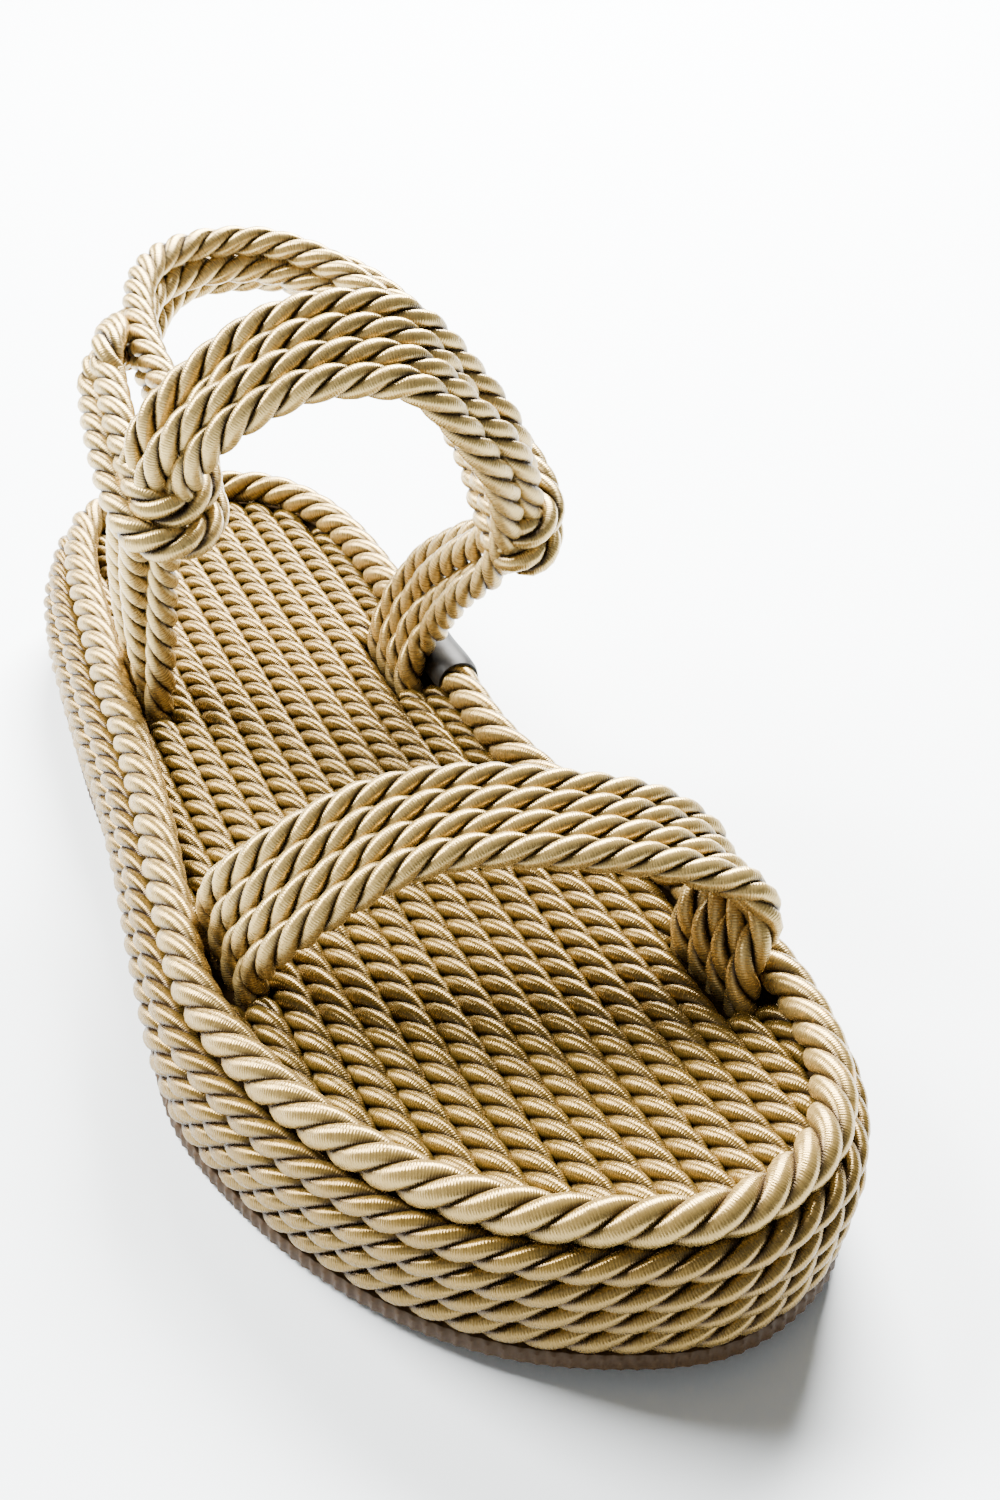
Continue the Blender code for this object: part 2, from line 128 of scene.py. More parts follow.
outlineRows = [  # along, lateral, medial
    (0.02, -0.370, 0.215), (0.06, -0.470, 0.350), (0.12, -0.525, 0.428), (0.20, -0.558, 0.455),
    (0.30, -0.572, 0.432), (0.40, -0.540, 0.396), (0.50, -0.519, 0.358), (0.60, -0.520, 0.393),
    (0.70, -0.525, 0.467), (0.80, -0.458, 0.510), (0.88, -0.352, 0.487), (0.94, -0.218, 0.418),
    (0.98, -0.053, 0.310),
]
heelTip = -0.07
toeTip = 0.13
wallRows = [  # layer, step, flare
    (0.0, 0.50, 1.00), (1.0, 0.80, 0.95), (2.0, 1.05, 0.75), (3.0, 1.00, 0.35), (rimLevel, 0.0, 0.0),
]
flareRows = [  # along, lateral, medial
    (0.00, 1.3, 0.8), (0.15, 1.5, 0.8), (0.35, 1.0, 0.6), (0.55, 1.0, 0.6),
    (0.70, 0.9, 0.4), (0.85, 0.4, 0.1), (1.00, 0.0, 0.0),
]
toeRows = [  # across, along, rise, tilt, spread
    (-1, 0.655, -0.10, 0, 1.00), (-1, 0.655, 0.061, 0, 1.00),
    (-0.796, 0.663, 0.276, 6, 1.00), (-0.722, 0.676, 0.496, 11, 1.00),
    (-0.570, 0.686, 0.731, 13, 1.00), (-0.296, 0.692, 0.955, 10, 1.00),
    (0.008, 0.703, 1.025, 8, 1.00), (0.390, 0.729, 0.994, 8, 1.00),
    (0.712, 0.748, 0.865, 10, 1.00), (0.903, 0.765, 0.653, 9, 1.00),
    (0.933, 0.778, 0.433, 5, 1.00), (1, 0.787, 0.178, 0, 1.00),
    (1, 0.789, -0.10, 0, 1.00),
]
ankleRows = [  # across, along, rise, tilt, spread
    (-1, 0.313, -0.10, 0, 1.00), (-1, 0.314, 0.031, 0, 1.00),
    (-0.807, 0.331, 0.218, 2, 0.84), (-0.810, 0.376, 0.458, 5, 0.58),
    (-0.785, 0.442, 0.669, 8, 0.50), (-0.711, 0.462, 0.789, 8, 0.74),
    (-0.512, 0.472, 0.885, 7, 0.94), (-0.219, 0.482, 0.959, 19, 1.00),
    (0.117, 0.491, 0.970, 27, 1.00), (0.461, 0.504, 0.939, 26, 1.00),
    (0.772, 0.505, 0.820, 22, 0.95), (1.015, 0.505, 0.691, 19, 0.70),
    (1.146, 0.487, 0.543, 14, 0.58), (1.143, 0.457, 0.423, 9, 0.70),
    (1.043, 0.419, 0.330, 6, 0.84), (0.968, 0.388, 0.246, 4, 0.94),
    (0.918, 0.364, 0.172, 2, 1.00), (0.853, 0.353, 0.121, 0, 1.00),
    (0.781, 0.348, 0.063, 0, 1.00), (1, 0.347, 0.018, 0, 1.00),
    (1, 0.347, -0.10, 0, 1.00),
]
heelRows = [  # across, along, rise, tilt
    (0.076, 0.128, 0.783, 0), (-0.290, 0.148, 0.783, 0), (-0.496, 0.199, 0.775, 0),
    (-0.576, 0.276, 0.749, 0), (-0.569, 0.354, 0.721, 0), (-0.551, 0.423, 0.692, 0),
    (-0.586, 0.465, 0.663, 10), (-0.724, 0.484, 0.650, 25), (-0.870, 0.472, 0.658, 35),
    (-0.906, 0.435, 0.682, 38), (-0.900, 0.374, 0.723, 38), (-0.860, 0.317, 0.750, 34),
    (-0.823, 0.297, 0.784, 28), (-0.727, 0.256, 0.758, 16), (-0.602, 0.223, 0.729, 4),
    (-0.471, 0.183, 0.706, 0), (-0.304, 0.138, 0.718, 0), (-0.125, 0.116, 0.733, 0),
    (0.139, 0.101, 0.729, 0), (0.675, 0.109, 0.719, 0), (1.058, 0.175, 0.707, 0),
    (1.283, 0.264, 0.661, 0), (1.385, 0.362, 0.602, 0), (1.427, 0.447, 0.551, 0),
    (1.362, 0.493, 0.517, 0), (1.154, 0.510, 0.501, 0), (1.038, 0.496, 0.513, 0),
    (1.076, 0.455, 0.547, 0), (1.150, 0.394, 0.597, 0), (1.126, 0.305, 0.669, 0),
    (0.895, 0.207, 0.743, 0), (0.538, 0.148, 0.778, 0),
]


def alongToY(along):
    return (0.5 - along) * runLength


def yToAlong(y):
    return 0.5 - y / runLength


def localWidth(along):
    share = min(max((along - sole["widensFrom"]) / sole["widensOver"], 0.0), 1.0)
    share = share * share * (3 - 2 * share)
    return (sole["heelWidth"] - sole["rimCord"]) + (sole["ballWidth"] - sole["heelWidth"]) * share


def lift(y):
    share = np.maximum(0.0, (yToAlong(y) - sole["springFrom"]) / (1 - sole["springFrom"]))
    return sole["toeSpring"] * share * share


def spline(points, closed):
    points = np.array(points, float)
    total = len(points)
    if closed:
        tangents = (np.roll(points, -1, axis=0) - np.roll(points, 1, axis=0)) / 2
    else:
        tangents = np.gradient(points, axis=0)
    s = np.linspace(0, 1, 17)[:-1, None]
    parts = []
    for i in range(total if closed else total - 1):
        j = (i + 1) % total
        span = np.linalg.norm((points[j] - points[i])[:3])
        ta = tangents[i] * min(1.0, 1.4 * span / max(np.linalg.norm(tangents[i][:3]), 1e-9))
        tb = tangents[j] * min(1.0, 1.4 * span / max(np.linalg.norm(tangents[j][:3]), 1e-9))
        parts.append((2 * s**3 - 3 * s**2 + 1) * points[i] + (s**3 - 2 * s**2 + s) * ta
                     + (3 * s**2 - 2 * s**3) * points[j] + (s**3 - s**2) * tb)
    parts.append(points[:1] if closed else points[-1:])
    return np.concatenate(parts)


def evenly(dense, count, closed):
    run = np.concatenate([[0], np.cumsum(np.linalg.norm(np.diff(dense[:, :3], axis=0), axis=1))])
    wanted = np.linspace(0, run[-1], count, endpoint=not closed)
    return np.column_stack([np.interp(wanted, run, dense[:, k]) for k in range(dense.shape[1])])


def rimLine(count):
    line = [(heelTip * localWidth(0), alongToY(0), 0)]
    line += [(lateral * localWidth(a), alongToY(a), 0) for a, lateral, _ in outlineRows]
    line.append((toeTip * localWidth(1), alongToY(1), 0))
    line += [(medial * localWidth(a), alongToY(a), 0) for a, _, medial in reversed(outlineRows)]
    return evenly(spline(line, True), count, True)[:, :2]


def rimReach(side, y):
    plan = rimLine(400)
    plan = plan[plan[:, 0] * side > 0]
    order = np.argsort(plan[:, 1])
    return np.interp(y, plan[order, 1], np.abs(plan[order, 0]))


def outward(line):
    tangent = np.roll(line, -1, axis=0) - np.roll(line, 1, axis=0)
    normal = np.column_stack([tangent[:, 1], -tangent[:, 0]])
    normal /= np.linalg.norm(normal, axis=1)[:, None]
    if ((line - line.mean(axis=0)) * normal).sum() < 0:
        normal = -normal
    return normal


def flareAt(line, level):
    height = (level - lowestLayer) / sole["sideCord"]
    heights = [row[0] for row in wallRows]
    step = np.interp(height, heights, [row[1] for row in wallRows])
    share = np.interp(height, heights, [row[2] for row in wallRows])
    along = [row[0] for row in flareRows]
    lateral = np.interp(yToAlong(line[:, 1]), along, [row[1] for row in flareRows])
    medial = np.interp(yToAlong(line[:, 1]), along, [row[2] for row in flareRows])
    side = 0.5 + 0.5 * np.tanh(line[:, 0] / (sole["heelWidth"] / 6))
    return sole["wallStep"] * step + sole["sideFlare"] * share * (lateral * (1 - side) + medial * side)


def wallRing(level, grow, count):
    line = rimLine(count)
    plan = line + outward(line) * (flareAt(line, level) + grow)[:, None]
    return np.column_stack([plan, level + lift(plan[:, 1])])


# The frame stands centred over its box; find how far it was moved
ownRim = rimLine(600)
rimLow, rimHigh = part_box("rim_rope")
shift = np.array([
    (rimLow.x + rimHigh.x) / 2 - (ownRim[:, 0].min() + ownRim[:, 0].max()) / 2,
    (rimLow.y + rimHigh.y) / 2 - (ownRim[:, 1].min() + ownRim[:, 1].max()) / 2,
    0.0,
])
print("frame shift in mm:", [round(float(v) / mm, 2) for v in shift])


def directions(path, closed, guide, tilts=None):
    if closed:
        tangent = np.roll(path, -1, axis=0) - np.roll(path, 1, axis=0)
    else:
        tangent = np.gradient(path, axis=0)
    tangent /= np.linalg.norm(tangent, axis=1)[:, None]
    guide = np.array(guide, float)
    width = guide - tangent * (tangent @ guide)[:, None]
    width /= np.linalg.norm(width, axis=1)[:, None]
    face = np.cross(tangent, width)
    if tilts is not None:
        angle = np.radians(tilts)[:, None]
        width, face = (width * np.cos(angle) + face * np.sin(angle),
                       face * np.cos(angle) - width * np.sin(angle))
    return width, face


class CordMesh:
    # gathers the strands of many cords into one mesh, with lengths and tones for the material
    def __init__(self):
        self.points, self.faces, self.lengths, self.tones = [], [], [], []
        self.count = 0

    def addTube(self, centre, across, out, wide, tall, closed, tone):
        sides = twist["sides"]
        turns = 2 * math.pi * np.arange(sides) / sides
        ring = (centre[:, None, :]
                + across[:, None, :] * (wide * np.cos(turns))[None, :, None]
                + out[:, None, :] * (tall * np.sin(turns))[None, :, None])
        stations = len(centre)
        steps = np.linalg.norm(np.diff(centre, axis=0), axis=1)
        run = np.concatenate([[0], np.cumsum(steps)]) / mm
        last = run[-1] + np.linalg.norm(centre[0] - centre[-1]) / mm
        index = self.count + np.arange(stations * sides).reshape(stations, sides)
        for i in range(stations if closed else stations - 1):
            j = (i + 1) % stations
            uHigh = last if j == 0 else run[j]
            for k in range(sides):
                m = (k + 1) % sides
                self.faces.append((index[i, k], index[i, m], index[j, m], index[j, k]))
                low, high = k / sides, (k + 1) / sides
                self.lengths += [(run[i], low), (run[i], high), (uHigh, high), (uHigh, low)]
        if not closed:
            self.faces.append(tuple(index[0][::-1]))
            self.faces.append(tuple(index[-1]))
            self.lengths += [(run[0], 0.75)] * sides + [(run[-1], 0.75)] * sides
        self.points.append(ring.reshape(-1, 3))
        self.tones += [tone] * (stations * sides)
        self.count += stations * sides

    def addCord(self, path, width, face, closed, diameter, lay, phase):
        # three strands, laid left-handed, round the middle line of the cord
        steps = np.linalg.norm(np.diff(path, axis=0), axis=1)
        run = np.concatenate([[0], np.cumsum(steps)])
        total = run[-1] + (np.linalg.norm(path[0] - path[-1]) if closed else 0.0)
        turns = total / lay
        if closed:
            turns = max(1, round(turns))
        strandRadius = diameter * twist["strandShare"] * twist["fullness"]
        offset = diameter * 0.5 - diameter * twist["strandShare"]
        for k in range(3):
            angle = phase + 2 * math.pi * (k / 3 - turns * run / total)
            out = width * np.cos(angle)[:, None] + face * np.sin(angle)[:, None]
            centre = path + out * offset
            if closed:
                along = np.roll(centre, -1, axis=0) - np.roll(centre, 1, axis=0)
            else:
                along = np.gradient(centre, axis=0)
            along /= np.linalg.norm(along, axis=1)[:, None]
            radial = out - along * (out * along).sum(axis=1)[:, None]
            radial /= np.linalg.norm(radial, axis=1)[:, None]
            across = np.cross(radial, along)
            wide = strandRadius * twist["flatness"]
            self.addTube(centre, across, radial, wide, strandRadius, closed, random.random())

    def finish(self, name, material):
        mesh = bpy.data.meshes.new(name)
        mesh.from_pydata(np.concatenate(self.points).tolist(), [], self.faces)
        layer = mesh.uv_layers.new(name="strand")
        layer.data.foreach_set("uv", np.array(self.lengths, np.float32).ravel())
        tone = mesh.attributes.new("tone", "FLOAT", "POINT")
        tone.data.foreach_set("value", np.array(self.tones, np.float32))
        mesh.materials.append(material)
        mesh.shade_smooth()
        work = bmesh.new()
        work.from_mesh(mesh)
        bmesh.ops.recalc_face_normals(work, faces=work.faces[:])
        work.to_mesh(mesh)
        work.free()
        piece = bpy.data.objects.new(name, mesh)
        piece.location = shift
        bpy.context.collection.objects.link(piece)
        print(name, "faces", len(mesh.polygons))
        return piece


# Materials

def newMaterial(name):
    material = bpy.data.materials.new(name)
    material.use_nodes = True
    nodes, links = material.node_tree.nodes, material.node_tree.links
    return material, nodes, links, nodes["Principled BSDF"]


def mathNode(nodes, links, operation, a, b=None):
    node = nodes.new("ShaderNodeMath")
    node.operation = operation
    for socket, value in zip(node.inputs, (a, b)):
        if value is None:
            continue
        if isinstance(value, (int, float)):
            socket.default_value = value
        else:
            links.new(value, socket)
    return node.outputs[0]


def mixColour(nodes, links, factor, a, b, blend="MIX"):
    node = nodes.new("ShaderNodeMix")
    node.data_type = "RGBA"
    node.blend_type = blend
    for socket, value in ((node.inputs[0], factor), (node.inputs[6], a), (node.inputs[7], b)):
        if isinstance(value, (int, float)):
            socket.default_value = value
        elif isinstance(value, tuple):
            socket.default_value = (*value, 1)
        else:
            links.new(value, socket)
    return node.outputs[2]


def mapRange(nodes, links, value, low, high, toLow=0.0, toHigh=1.0):
    node = nodes.new("ShaderNodeMapRange")
    node.interpolation_type = "SMOOTHSTEP"
    links.new(value, node.inputs["Value"])
    for name, number in (("From Min", low), ("From Max", high), ("To Min", toLow), ("To Max", toHigh)):
        node.inputs[name].default_value = number
    return node.outputs["Result"]


cordLook = {
    "thread": 0.40,             # mm from one wound thread to the next
    "threadDepth": 0.000035,
    "slant": 2,                 # threads that the winding climbs in one turn
    "drift": 7.0,               # radians that it wanders
    "driftScale": 420.0,
    "crownFrom": -0.05,         # where a strand's face turns from the painted valley shade to crown colour
    "crownTo": 0.70,
    "fineAlong": 3.1,           # unevenness along a strand, round it and between strands
    "fineRound": 3.0,
    "fineApart": 50.0,
    "fineDepth": 1.1,           # share of the thread's depth
    "fineShade": (0.91, 1.07),  # darkest and lightest
    # painted shade in the grooves between wound threads, darkest and lightest
    "paintedThreadShade": (0.88, 1.0),
    "strandShade": (0.93, 1.05),
    "smoother": 0.06,           # roughness goes this far below its tone's own value
    "rougher": 0.10,            # and this far above
    "bump": 0.9,
    "ior": 1.6,
    "metal": 0.62,              # silky filament mirrors light in its own colour
    "stretch": 0.85,            # gloss runs along the strand, across the wound thread
    "worn": (0.19, 0.110, 0.028),
    "wornScale": 28.0,
    "wornShare": 0.16,
    "glue": (0.62, 0.36, 0.08),
    "glueAt": (0.034, -0.098, 0.024),   # toe corner, a few faint drops
    "glueNear": 0.008,
    "glueFar": 0.026,
    "dropScale": 260.0,
}
# one cord colour in lit and shaded copies: footbed and side crowns are darkened with painted shade,
# rim and strap crowns are kept lighter; each valley colour is painted shade between the strands
cordTones = {
    "side": {"crown": (0.255, 0.160, 0.034), "valleyShade": (0.028, 0.013, 0.0025), "rough": 0.26},
    "rim": {"crown": (0.39, 0.262, 0.076), "valleyShade": (0.028, 0.013, 0.0025), "rough": 0.26},
    "footbed": {"crown": (0.180, 0.110, 0.017), "valleyShade": (0.010, 0.004, 0.0006), "rough": 0.24},
    "strap": {"crown": (0.52, 0.364, 0.120), "valleyShade": (0.022, 0.011, 0.0025), "rough": 0.26},
}


def cordMaterial(kind, glued=False):
    # fine thread wound round each strand: rings of bump, satin gloss, painted shade between strands
    # and between the wound threads
    tones = cordTones[kind]
    material, nodes, links, shader = newMaterial(kind + "CordSatin")
    uv = nodes.new("ShaderNodeUVMap")
    uv.uv_map = "strand"
    parts = nodes.new("ShaderNodeSeparateXYZ")
    links.new(uv.outputs["UV"], parts.inputs[0])
    length, turn = parts.outputs[0], parts.outputs[1]
    tone = nodes.new("ShaderNodeAttribute")
    tone.attribute_name = "tone"
    spot = nodes.new("ShaderNodeTexCoord").outputs["Object"]

    wander = nodes.new("ShaderNodeTexNoise")
    wander.inputs["Scale"].default_value = cordLook["driftScale"]
    wander.inputs["Detail"].default_value = 2.0
    links.new(spot, wander.inputs["Vector"])
    threads = mathNode(nodes, links, "MULTIPLY", length, 2 * math.pi / cordLook["thread"])
    drift = mathNode(nodes, links, "MULTIPLY", wander.outputs["Fac"], cordLook["drift"])
    phase = mathNode(nodes, links, "ADD", threads, drift)
    slant = mathNode(nodes, links, "MULTIPLY", turn, 2 * math.pi * cordLook["slant"])
    phase = mathNode(nodes, links, "ADD", phase, slant)
    wave = mathNode(nodes, links, "SINE", phase)
    ridge = mathNode(nodes, links, "MULTIPLY_ADD", wave, 0.5)
    ridge.node.inputs[2].default_value = 0.5

    fine = nodes.new("ShaderNodeTexNoise")       # uneven threads, some standing out
    fine.inputs["Scale"].default_value = 1.0
    fine.inputs["Detail"].default_value = 3.0
    grain = nodes.new("ShaderNodeCombineXYZ")
    links.new(mathNode(nodes, links, "MULTIPLY", length, cordLook["fineAlong"]), grain.inputs[0])
    links.new(mathNode(nodes, links, "MULTIPLY", turn, cordLook["fineRound"]), grain.inputs[1])
    apart = mathNode(nodes, links, "MULTIPLY", tone.outputs["Fac"], cordLook["fineApart"])
    links.new(apart, grain.inputs[2])
    links.new(grain.outputs[0], fine.inputs["Vector"])

    # painted shade: a strand's inward-turned faces go to the dark valley colour
    outness = mathNode(nodes, links, "SINE", mathNode(nodes, links, "MULTIPLY", turn, 2 * math.pi))
    crownness = mapRange(nodes, links, outness, cordLook["crownFrom"], cordLook["crownTo"])
    base = mixColour(nodes, links, crownness, tones["valleyShade"], tones["crown"])
    shade = mapRange(nodes, links, fine.outputs["Fac"], 0.30, 0.72, *cordLook["fineShade"])
    # painted shade in the groove between one wound thread and the next
    paintedThreadShade = mapRange(nodes, links, wave, -1.0, 0.2, *cordLook["paintedThreadShade"])
    toneShade = mapRange(nodes, links, tone.outputs["Fac"], 0.0, 1.0, *cordLook["strandShade"])
    total = mathNode(nodes, links, "MULTIPLY", shade, paintedThreadShade)
    total = mathNode(nodes, links, "MULTIPLY", total, toneShade)
    grey = nodes.new("ShaderNodeCombineColor")
    for k in range(3):
        links.new(total, grey.inputs[k])
    base = mixColour(nodes, links, 1.0, base, grey.outputs[0], "MULTIPLY")

    broad = nodes.new("ShaderNodeTexNoise")      # slow change from handling and dye
    broad.inputs["Scale"].default_value = cordLook["wornScale"]
    links.new(spot, broad.inputs["Vector"])
    worn = mapRange(nodes, links, broad.outputs["Fac"], 0.35, 0.7, 0.0, cordLook["wornShare"])
    base = mixColour(nodes, links, worn, base, cordLook["worn"])
    if glued:
        away = nodes.new("ShaderNodeVectorMath")
        away.operation = "DISTANCE"
        links.new(spot, away.inputs[0])
        away.inputs[1].default_value = cordLook["glueAt"]
        near = mapRange(nodes, links, away.outputs["Value"], cordLook["glueFar"], cordLook["glueNear"])
        drops = nodes.new("ShaderNodeTexNoise")
        drops.inputs["Scale"].default_value = cordLook["dropScale"]
        links.new(spot, drops.inputs["Vector"])
        spots = mapRange(nodes, links, drops.outputs["Fac"], 0.60, 0.68)
        dropped = mathNode(nodes, links, "MULTIPLY", near, spots)
        base = mixColour(nodes, links, dropped, base, cordLook["glue"])
    links.new(base, shader.inputs["Base Color"])
    rough = mapRange(nodes, links, fine.outputs["Fac"], 0.3, 0.7,
                     tones["rough"] - cordLook["smoother"], tones["rough"] + cordLook["rougher"])
    links.new(rough, shader.inputs["Roughness"])
    shader.inputs["Metallic"].default_value = cordLook["metal"]
    shader.inputs["IOR"].default_value = cordLook["ior"]
    shader.inputs["Specular IOR Level"].default_value = 0.5
    shader.inputs["Anisotropic"].default_value = cordLook["stretch"]
    along = nodes.new("ShaderNodeTangent")
    along.direction_type = "UV_MAP"
    along.uv_map = "strand"
    links.new(along.outputs[0], shader.inputs["Tangent"])

    height = mathNode(nodes, links, "MULTIPLY", ridge, cordLook["threadDepth"])
    fineDepth = cordLook["threadDepth"] * cordLook["fineDepth"]
    uneven = mathNode(nodes, links, "MULTIPLY", fine.outputs["Fac"], fineDepth)
    bump = nodes.new("ShaderNodeBump")
    bump.inputs["Strength"].default_value = cordLook["bump"]
    bump.inputs["Distance"].default_value = 1.0
    links.new(mathNode(nodes, links, "ADD", height, uneven), bump.inputs["Height"])
    links.new(bump.outputs["Normal"], shader.inputs["Normal"])
    return material


sideLook = cordMaterial("side", glued=True)
rimLook = cordMaterial("rim", glued=True)
bedLook = cordMaterial("footbed")
strapLook = cordMaterial("strap")
print("cord materials made")


def place(piece, slotName, *nodeNames):
    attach(piece, "root")
    if nodeNames:
        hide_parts(*nodeNames)
    return piece


# Sole side: rim and four layers below it

def ringCord(name, level, diameter, lay, phase, material):
    length = np.linalg.norm(np.diff(wallRing(level, 0.0, 400), axis=0), axis=1).sum()
    count = int(round(length / twist["step"]))
    path = wallRing(level, 0.0, count)
    width, face = directions(path, True, (0, 0, 1))
    cords = CordMesh()
    cords.addCord(path, width, face, True, diameter, lay, phase)
    return cords.finish(name, material)


for layer in range(sole["sideLayers"]):
    level = lowestLayer + layer * sole["sideCord"]
    thick = sole["sideCord"] * twist["sideSwell"]
    start = twist["layerTurn"] * layer
    piece = ringCord(f"sideCord{layer + 1}", level, thick, twist["sideLay"], start, sideLook)
    place(piece, "side_rope", f"side_rope_{layer + 1}")
piece = ringCord("rimCord", rimHeight, sole["rimCord"], twist["rimLay"], twist["rimTurn"], rimLook)
place(piece, "side_rope", "rim_rope")


# Paths of the straps, needed for the slots in the footbed

def seat(side, y, lean, beside):
    across = (np.arange(strap["cords"]) - (strap["cords"] - 1) / 2) * strap["cord"]
    taken = sole["rimCord"] / 2 + beside + sole["gap"] + strap["cord"] / 2
    return side * (rimReach(side, y - across) - taken - side * lean * across).min()


def strapPoints(form, closed=False):
    points = []
    for i, row in enumerate(form["rows"]):
        y = alongToY(row[1])
        side = math.copysign(1.0, row[0])
        if closed or 1 < i < len(form["rows"]) - 2:
            x = row[0] * rimReach(side, y)
        else:
            x = seat(side, y, form["lean"], form["beside"] if side > 0 else 0.0)
        z = slotFloor if row[2] < 0 else bedTop + row[2] * form["rise"]
        points.append((x, y, z + float(lift(y)), *row[3:]))
    dense = spline(points, closed)
    length = np.linalg.norm(np.diff(dense[:, :3], axis=0), axis=1).sum()
    return evenly(dense, int(length / twist["step"]), closed)


toeForm = {"rows": toeRows, "rise": strap["toeRise"], "lean": strap["toeLean"], "beside": 0.0}
ankleForm = {"rows": ankleRows, "rise": strap["instepRise"], "lean": 0.0,
             "beside": sole["gap"] + sleeve["wall"]}


# Footbed: straight cords side by side, ends tucked under the rim

def strapEnds():
    ends = []
    for form in (toeForm, ankleForm):
        path = strapPoints(form)
        ends += [path[0, :2], path[-1, :2]]
    return ends


def insideRuns(x, edge):
    crossings = []
    for a, b in zip(edge, np.roll(edge, -1, axis=0)):
        if (a[0] - x) * (b[0] - x) < 0:
            crossings.append(a[1] + (b[1] - a[1]) * (x - a[0]) / (b[0] - a[0]))
    crossings.sort()
    return list(zip(crossings[0::2], crossings[1::2]))


bedLaid = {
    "inset": 1.2 * mm,          # cords end this far inside the rim's line
    "shift": 0.4 * mm,          # of the middle groove from the middle line
    "slotRoom": 0.3 * mm,       # beyond the strap's cords, along the sole
    "slotSide": 0.2,            # share of a cord's radius, beside them
    "shortestCut": 4 * mm,      # beside a slot
    "shortest": 6 * mm,
    "dip": 1.9 * mm,            # ends dive under the rim
    "dipLength": 4.5 * mm,
    "sway": 0.12 * mm,          # no cord lies quite straight
    "swayLength": 11 * mm,
    "swayTurn": 2.1,
}
rimInner = rimLine(600)
rimInner = rimInner - outward(rimInner) * bedLaid["inset"]
bed = CordMesh()
bedRadius = sole["bedCord"] / 2
reach = strap["cords"] * strap["cord"] / 2 + bedLaid["slotRoom"]
halfCount = math.ceil(sole["ballWidth"] / 2 / sole["bedCord"])
slots = strapEnds()
for k in range(-halfCount, halfCount):
    x = (k + 0.5) * sole["bedCord"] - bedLaid["shift"]
    for low, high in insideRuns(x, rimInner):
        runs = [(low, high)]
        for slotX, slotY in slots:
            side = math.copysign(1, slotX)
            if side * x > side * slotX - strap["cord"] / 2 - bedRadius * bedLaid["slotSide"]:
                cut = []
                for a, b in runs:
                    if slotY - reach > a:
                        cut.append((a, min(b, slotY - reach)))
                    if slotY + reach < b:
                        cut.append((max(a, slotY + reach), b))
                runs = [r for r in cut if r[1] - r[0] > bedLaid["shortestCut"]]
        for a, b in runs:
            if b - a < bedLaid["shortest"]:
                continue
            count = max(6, int((b - a) / twist["step"]))
            ys = np.linspace(b, a, count)
            near = np.minimum(b - ys, ys - a) / bedLaid["dipLength"]
            dive = bedLaid["dip"] * np.clip(1 - near, 0, 1) ** 2
            sway = bedLaid["sway"] * np.sin(ys / bedLaid["swayLength"] + k * bedLaid["swayTurn"])
            path = np.column_stack([x + sway, ys, bedTop - bedRadius + lift(ys) - dive])
            width, face = directions(path, False, (1, 0, 0))
            thick = sole["bedCord"] * twist["bedSwell"]
            bed.addCord(path, width, face, False, thick, twist["bedLay"], random.uniform(0, 6.28))
place(bed.finish("footbedCords", bedLook), "footbed_rope", "footbed")


def skin(name, rings, material):
    # closed solid over equal rings, capped at both ends
    around = len(rings[0])
    faces = []
    for i in range(len(rings) - 1):
        for k in range(around):
            m = (k + 1) % around
            faces.append((i * around + k, i * around + m, (i + 1) * around + m, (i + 1) * around + k))
    faces.append(tuple(range(around))[::-1])
    faces.append(tuple(range((len(rings) - 1) * around, len(rings) * around)))
    mesh = bpy.data.meshes.new(name)
    mesh.from_pydata(np.concatenate(rings).tolist(), [], faces)
    work = bmesh.new()
    work.from_mesh(mesh)
    bmesh.ops.recalc_face_normals(work, faces=work.faces[:])
    work.to_mesh(mesh)
    work.free()
    mesh.materials.append(material)
    mesh.shade_smooth()
    mesh.set_sharp_from_angle(angle=math.radians(40))    # steeper edges stay crisp
    piece = bpy.data.objects.new(name, mesh)
    piece.location = shift
    bpy.context.collection.objects.link(piece)
    return piece


# Core pad under the footbed's cords, painted near black as the shade seen between them

pad = {
    "lift": 0.1 * mm,           # off the rubber
    "inset": 0.6 * mm,          # from the side cords' line
    "shoulder": 1.5 * mm,       # above the top side cord
    "shoulderInset": 1.0 * mm,
    "topDrop": 1.5,             # bed cord radii below the footbed's top
    "topInset": 2.6 * mm,
    # painted shade: near black, with fine grain between these two
    "dark": (0.012, 0.007, 0.003),
    "pale": (0.030, 0.018, 0.008),
    "grainScale": 900.0,
    "rough": 0.95,
}
padShadeLook, nodes, links, shader = newMaterial("corePadShade")
grain = nodes.new("ShaderNodeTexNoise")
grain.inputs["Scale"].default_value = pad["grainScale"]
links.new(nodes.new("ShaderNodeTexCoord").outputs["Object"], grain.inputs["Vector"])
links.new(mixColour(nodes, links, grain.outputs["Fac"], pad["dark"], pad["pale"]),
          shader.inputs["Base Color"])
shader.inputs["Roughness"].default_value = pad["rough"]
shader.inputs["Specular IOR Level"].default_value = 0.0
line = rimLine(300)
normal = outward(line)
rings = []
for level, flareLevel, inset in ((sole["rubber"] + pad["lift"], lowestLayer, pad["inset"]),
                                 (topLayer, topLayer, pad["inset"]),
                                 (topLayer + pad["shoulder"], rimHeight, pad["shoulderInset"]),
                                 (bedTop - bedRadius * pad["topDrop"], rimHeight, pad["topInset"])):
    plan = line + normal * (flareAt(line, flareLevel) - inset)[:, None]
    rings.append(np.column_stack([plan, level + lift(plan[:, 1])]))
place(skin("corePadShade", rings, padShadeLook), "footbed_rope", "footbed")
print("sole built")


# Straps

